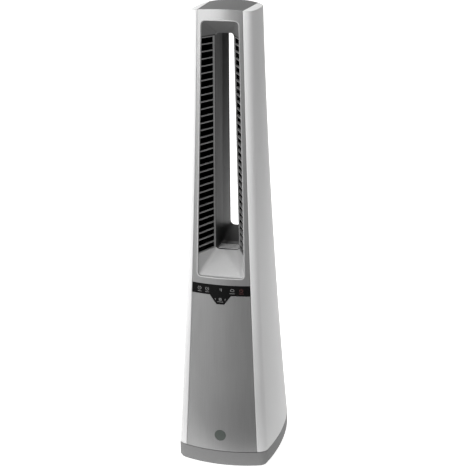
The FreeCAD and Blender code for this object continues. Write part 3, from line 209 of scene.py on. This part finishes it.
def wall_moulding(name, level, head_level, head_low):
    """Satin dark moulding with upright draw marks, with painted light making it paler towards the
    rear, and paler above head_low.
    """
    wall = Shader(name)
    draw = wall.noise(14.0, 3.0, (16, 16, 0.25), 0.55)
    fine = wall.noise(900.0, 2.0)
    body = wall.mix(draw * 0.8 + fine * 0.2, grey(level * 0.7), grey(level * 1.3))
    y, z = wall.axes()[1:]
    # Painted light: paler towards the rear, near the slot.
    body = wall.mix(y.ramp(-0.03, 0.07), body, grey(level * 3.6))
    base = wall.mix(z.ramp(head_low, head_low + 0.004), body, grey(head_level))
    return wall.finish(Base_Color=base, Roughness=draw * 0.2 + 0.34,
                       Specular_IOR_Level=0.22,
                       Normal=wall.bump(draw * 0.5 + fine * 0.5, 0.08, 0.0004))


MATERIALS = {
    # The white shells and the silver paint (shade=0.72) get painted shade towards the foot.
    "white_shell": moulded("white_shell", 0.76, roughness=0.42, grain=1400, depth=0.03,
                           coat=0.05, edge=0.004, specular=0.35, shade=0.72),
    "silver_paint": metallic_paint("silver_paint", 0.34, 0.42, shade=0.72),
    "light_silver": metallic_paint("light_silver", 0.53, 0.50, flow=(20, 20, 20),
                                   contrast=0.6, metallic=0.3, coat=0.1),
    "dark_grey": wall_moulding("dark_grey", 0.036, 0.17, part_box("upper_scoop")[0][2]),
    "cap_grey": metallic_paint("cap_grey", 0.10, 0.50, flow=(3, 60, 60),
                               contrast=2.2, metallic=0.0, coat=0.0, specular=0.15),
    "foot_grey": metallic_paint("foot_grey", 0.185, 0.50, flow=(10, 10, 60),
                                contrast=0.8, metallic=0.0, coat=0.0, specular=0.08),
    # The black louvre plastic is lightened to mid grey: a painted highlight for the lit front edges
    # of its slats.
    "louvre_black": moulded("louvre_black", 0.34, roughness=0.45),
    "gloss_black": moulded("gloss_black", 0.004, roughness=0.16, depth=0.0, specular=0.16),
    "badge_green": moulded("badge_green", 0.055, (0.95, 1.14, 1.02), roughness=0.35, coat=0.2),
    "steel": moulded("steel", 0.5, roughness=0.35, metallic=1.0),
    "cast": moulded("cast", 0.1, roughness=0.6, metallic=0.6),
    "rubber": moulded("rubber", 0.015, roughness=0.75, depth=0.3),
    "acetal": moulded("acetal", 0.7, (1, 0.98, 0.93), roughness=0.4),
    "inner_black": moulded("inner_black", 0.006, roughness=0.7),
    "copper": moulded("copper", 0.5, (1, 0.5, 0.3), roughness=0.4, metallic=0.9),
    "magnet": moulded("magnet", 0.04, roughness=0.55),
    "board": moulded("board", 0.10, (0.4, 1.4, 0.6), roughness=0.4),
    "filter": moulded("filter", 0.08, roughness=0.9, depth=0.6),
}


def paint_nodes():
    """Give every carried-over node the finish of its slot."""
    for part in frame["record"]["subparts"]:
        item = NODES[part["node"]]
        item.data.materials.clear()
        item.data.materials.append(MATERIALS[part["material_slot"]])


paint_nodes()


# ---------------------------------------------------------------- pieces added on the tower

class Skin:
    """The outside of a node, found along straight rays."""

    def __init__(self, node):
        mesh = NODES[node].data
        places = [vertex.co for vertex in mesh.vertices]
        self.tree = BVHTree.FromPolygons(places, [face.vertices for face in mesh.polygons])

    def front(self, x, z):
        """Where the front face lies at x, z, or None where it is open."""
        return self.reach((x, -0.3, z), (0, 1, 0), 0.215)

    def reach(self, start, direction, far):
        """The first place that a ray meets, or None."""
        return self.tree.ray_cast(Vector(start), Vector(direction), far)[0]

    def rim(self, x, z, across, up):
        """Distance from an open point to the edge of the opening, along the front."""
        step, near = 0.001, 0.0
        while self.front(x + across * (near + step), z + up * (near + step)) is None:
            near += step
        far = near + step
        for _ in range(12):
            middle = (near + far) / 2
            if self.front(x + across * middle, z + up * middle) is None:
                near = middle
            else:
                far = middle
        return far


def add_piece(name, vertices, faces, material, smooth=True):
    """A new mesh that rides on the tower."""
    mesh = bpy.data.meshes.new(name)
    mesh.from_pydata(vertices, [], faces)
    mesh.validate()
    if smooth:
        mesh.shade_smooth()
    mesh.materials.append(material)
    item = bpy.data.objects.new(name, mesh)
    scene.collection.objects.link(item)
    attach(item, "tower")
    return item


def mouth_outline(skin, corner=0.008):
    """Points round the mouth and their outward directions, anticlockwise from the sill."""
    slats_low, slats_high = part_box("left_louvre")
    middle = (slats_low[2] + slats_high[2]) / 2
    top = middle + skin.rim(0, middle, 0, 1)
    bottom = middle - skin.rim(0, middle, 0, -1)
    right = []
    steps = 60
    for step in range(steps + 1):
        z = bottom + corner + (top - bottom - 2 * corner) * step / steps
        right.append((skin.rim(0, z, 1, 0), z, 1.0, 0.0))

    def bend(x, z, first, last):
        """The rounded corner about x, z."""
        points = []
        for step in range(1, 8):
            angle = math.radians(first + (last - first) * step / 8)
            across, up = math.cos(angle), math.sin(angle)
            away = skin.rim(x, z, across, up)
            points.append((x + across * away, z + up * away, across, up))
        return points

    upper = bend(right[-1][0] - corner, top - corner, 0, 90)
    lower = bend(right[0][0] - corner, bottom + corner, -90, 0)

    def level(half, z, up):
        """Half of the straight edge above or below, from the corner to the middle."""
        points = []
        for step in range(7):
            x = half * (1 - step / 6)
            points.append((x, z + up * skin.rim(x, z, 0, up), 0.0, up))
        return points

    roof = level(right[-1][0] - corner, top - corner, 1.0)
    sill = level(right[0][0] - corner, bottom + corner, -1.0)
    half = list(reversed(sill)) + lower + right + upper + roof
    mirrored = [(-x, z, -across, up) for x, z, across, up in reversed(half[1:-1])]
    return half + mirrored


def mouth_bead(width=0.0026, rise=0.0009, rings=8, inset=0.0002):
    """Half-round bright bead along the mouth's edge."""
    skin = Skin("front_frame")
    outline = mouth_outline(skin)
    vertices, faces = [], []
    for x, z, across, up in outline:
        base = None
        for ring in range(rings + 1):
            out = inset + (width - inset) * ring / rings
            place = skin.front(x + across * out, z + up * out)
            base = place.y if place is not None else base
            lift = rise * math.sin(math.pi * ring / rings)
            vertices.append((x + across * out, base - lift, z + up * out))
    count, row = len(outline), rings + 1
    for index in range(count):
        following = (index + 1) % count
        for ring in range(rings):
            faces.append((index * row + ring, index * row + ring + 1,
                          following * row + ring + 1, following * row + ring))
    add_piece("mouth_bead", vertices, faces, MATERIALS["light_silver"])


def arc(x, z, radius, first=0, last=360, steps=24):
    """Points along an arc, in degrees."""
    turns = [math.radians(first + (last - first) * step / steps) for step in range(steps + 1)]
    return [(x + radius * math.cos(turn), z + radius * math.sin(turn)) for turn in turns]


def stroke_mesh(skin, strokes, thick, proud=0.00012):
    """Flat ribbons along strokes, laid on the front of a node."""
    vertices, faces = [], []
    for stroke in strokes:
        first = len(vertices)
        for index, (x, z) in enumerate(stroke):
            before = stroke[max(index - 1, 0)]
            after = stroke[min(index + 1, len(stroke) - 1)]
            along = Vector((after[0] - before[0], after[1] - before[1])).normalized() * (thick / 2)
            for side in (1, -1):
                px, pz = x - side * along.y, z + side * along.x
                vertices.append((px, skin.front(px, pz).y - proud, pz))
        for index in range(len(stroke) - 1):
            corner = first + 2 * index
            faces.append((corner, corner + 1, corner + 3, corner + 2))
    return vertices, faces


def strip_symbols(thick=0.0009):
    """Touch symbols, display figure and level marks printed behind the control strip."""
    skin = Skin("control_lens")
    low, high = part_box("control_lens")
    upper, lower = high[2] - 0.0095, low[2] + 0.0105
    white, red = [], []

    def bar(middle, z, half):
        """A level bar, as used under each symbol."""
        return [(middle - half, z), (middle + half, z)]

    # Two timer dials on the left.
    for x in (-0.0437, -0.0274):
        white.append(arc(x, upper, 0.0034, 110, 430))
        white.append([(x, upper), (x, upper + 0.0022)])
        white.append([(x, upper), (x + 0.0014, upper)])
        white.append(bar(x, upper - 0.0068, 0.0042))
    # The display's figure.
    white.append([(-0.0002, upper + 0.0030), (-0.0008, upper - 0.0004), (0.0030, upper - 0.0004)])
    white.append([(0.0024, upper + 0.0030), (0.0024, upper - 0.0034)])
    # The swing symbol.
    white.append(arc(0.0232, upper, 0.0024, 60, 300))
    white.append(arc(0.0256, upper, 0.0024, -120, 120))
    white.append(bar(0.0243, upper - 0.0064, 0.0053))
    # The standby symbol.
    power_x = 0.0423
    red.append(arc(power_x, upper, 0.0032, 120, 420))
    red.append([(power_x, upper + 0.0004), (power_x, upper + 0.0040)])
    red.append(bar(power_x, upper - 0.0064, 0.0048))
    # The fan between two arrows on the tab.
    for turn in range(4):
        angle = math.pi / 4 + turn * math.pi / 2
        x, z = 0.0016 * math.cos(angle), 0.0016 * math.sin(angle)
        white.append(arc(x, lower + z, 0.0013))
    for side in (-1, 1):
        tail, tip = side * 0.0092, side * 0.0112
        white.append([(tail, lower + 0.0016), (tip, lower), (tail, lower - 0.0016)])
    white.append(bar(0.0, lower - 0.0054, 0.0060))

    white_ink = printed("symbol_print", (0.26, 0.26, 0.26))
    red_ink = printed("standby_print", (0.10, 0.032, 0.030))
    vertices, faces = stroke_mesh(skin, white, thick)
    add_piece("touch_symbols", vertices, faces, white_ink, smooth=False)
    vertices, faces = stroke_mesh(skin, red, thick)
    add_piece("standby_symbol", vertices, faces, red_ink, smooth=False)


def printed(name, tone):
    """Screen-printed ink, slightly uneven."""
    ink = Shader(name)
    speck = ink.noise(2500.0, 2.0)
    base = ink.mix(speck, tuple(part * 0.8 for part in tone) + (1.0,), tone + (1.0,))
    return ink.finish(Base_Color=base, Roughness=speck * 0.2 + 0.3)


def floor_ribs(count=4, pitch=0.0075, rise=0.0012):
    """Low cross ribs on the channel floor behind the scoop."""
    skin = Skin("channel_liner")
    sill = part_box("lower_scoop")[1]
    vertices, faces = [], []
    for index in range(count):
        y = sill[1] + 0.008 + index * pitch
        ground = skin.reach((0, y, sill[2] + 0.1), (0, 0, -1), 0.2)
        if ground is None:
            continue
        side = skin.reach((0, y, ground.z + 0.003), (1, 0, 0), 0.1)
        half = side.x - 0.002 if side is not None else 0.01
        first = len(vertices)
        section = ((-0.0012, 0.0), (-0.0004, rise), (0.0004, rise), (0.0012, 0.0))
        for x in (-half, half):
            for back, lift in section:
                vertices.append((x, y + back, ground.z + lift))
        for edge in range(3):
            faces.append((first + edge, first + edge + 1, first + edge + 5, first + edge + 4))
        faces.append((first, first + 1, first + 2, first + 3))
        faces.append((first + 7, first + 6, first + 5, first + 4))
    if faces:
        material = MATERIALS["light_silver"]
        add_piece("floor_ribs", vertices, faces, material, smooth=False)


mouth_bead()
strip_symbols()
floor_ribs()


# ---------------------------------------------------------------- camera, light and floor

def add_camera():
    """Camera at a long lens, a little to the right and above."""
    turn, pitch = math.radians(14.2), math.radians(18.0)
    reach, height, slide = 2.4994, 1.2788, 0.0029
    backward = Vector((math.sin(turn), -math.cos(turn), 0.0))
    right = Vector((math.cos(turn), math.sin(turn), 0.0))
    camera = bpy.data.objects.new("camera", bpy.data.cameras.new("camera"))
    scene.collection.objects.link(camera)
    aim = Vector((0, -0.004, height))
    camera.location = backward * reach + right * slide + aim
    look = -backward * math.cos(pitch) - Vector((0, 0, 1)) * math.sin(pitch)
    roll = Quaternion((0, 0, 1), math.radians(-0.2))
    camera.rotation_mode = "QUATERNION"
    camera.rotation_quaternion = look.to_track_quat("-Z", "Y") @ roll
    camera.data.sensor_width = 36.0
    camera.data.lens = 98.1
    scene.camera = camera


def area_light(name, place, target, size, power):
    """A soft panel that shines from place towards target."""
    light = bpy.data.lights.new(name, "AREA")
    light.shape = "RECTANGLE"
    light.size, light.size_y = size
    light.energy = power
    item = bpy.data.objects.new(name, light)
    item.visible_camera = False
    scene.collection.objects.link(item)
    item.location = place
    item.rotation_mode = "QUATERNION"
    aim = Vector(target) - Vector(place)
    item.rotation_quaternion = aim.to_track_quat("-Z", "Y")


def add_lights():
    """Four soft panels and a faint white world."""
    area_light("key_left", (-1.2, -2.3, 1.25), (0, 0, 0.6), (1.8, 1.8), 48)
    area_light("fill_left", (-2.0, -0.4, 1.05), (0, 0, 0.6), (0.8, 1.6), 11)
    area_light("strip_right", (1.35, -1.45, 1.3), (0, -0.05, 0.65), (0.25, 1.6), 13)
    area_light("top_soft", (0.0, -0.4, 2.6), (0, 0, 0.4), (1.4, 1.4), 16)
    world = bpy.data.worlds.new("studio")
    scene.world = world
    world.use_nodes = True
    background = world.node_tree.nodes["Background"]
    background.inputs["Color"].default_value = (1, 1, 1, 1)
    background.inputs["Strength"].default_value = 0.12
    scene.view_settings.view_transform = "Standard"


def floor_finish():
    """Sweep that glows pale around and behind the fan, and is grey in front and to the right."""
    gloss = Shader("floor")
    cloud = gloss.noise(1.5, 2.0)
    x, y = gloss.axes()[:2]
    right_edge = (x + y * 0.066).ramp(0.46, 1.7)
    front_edge = (y * 0.969 - x * 0.245).ramp(-0.27, -0.155)
    fall = (1 - right_edge) * front_edge
    pale = gloss.mix(cloud, grey(0.68), grey(0.72))
    return gloss.finish(Base_Color=gloss.mix(fall, grey(0.24), pale),
                        Roughness=0.60 - fall * 0.42 + cloud * 0.05,
                        # Painted light: the pale part glows, which hides the fan's shadow on it.
                        Emission_Color=gloss.mix(fall, grey(0.0), grey(1.0)),
                        Emission_Strength=0.88)


def add_floor():
    """Round floor that rises into a wall on every side."""
    flat, bend, tall = 3.4, 1.3, 5.0
    profile = [(0.0, 0.0), (flat, 0.0)]
    steps, sides = 10, 96
    for step in range(1, steps + 1):
        angle = math.pi / 2 * step / steps
        profile.append((flat + bend * math.sin(angle), bend * (1 - math.cos(angle))))
    profile.append((flat + bend, tall))
    vertices, faces = [], []
    for side in range(sides):
        turn = 2 * math.pi * side / sides
        for out, up in profile[1:]:
            vertices.append((out * math.sin(turn), out * math.cos(turn), up))
    middle, row = len(vertices), len(profile) - 1
    vertices.append((0.0, 0.0, 0.0))
    for side in range(sides):
        here, following = side * row, (side + 1) % sides * row
        faces.append((middle, following, here))
        for ring in range(row - 1):
            faces.append((here + ring, following + ring,
                          following + ring + 1, here + ring + 1))
    mesh = bpy.data.meshes.new("floor")
    mesh.from_pydata(vertices, [], faces)
    mesh.shade_smooth()
    floor = bpy.data.objects.new("floor", mesh)
    scene.collection.objects.link(floor)
    mesh.materials.append(floor_finish())


add_camera()
add_lights()
add_floor()
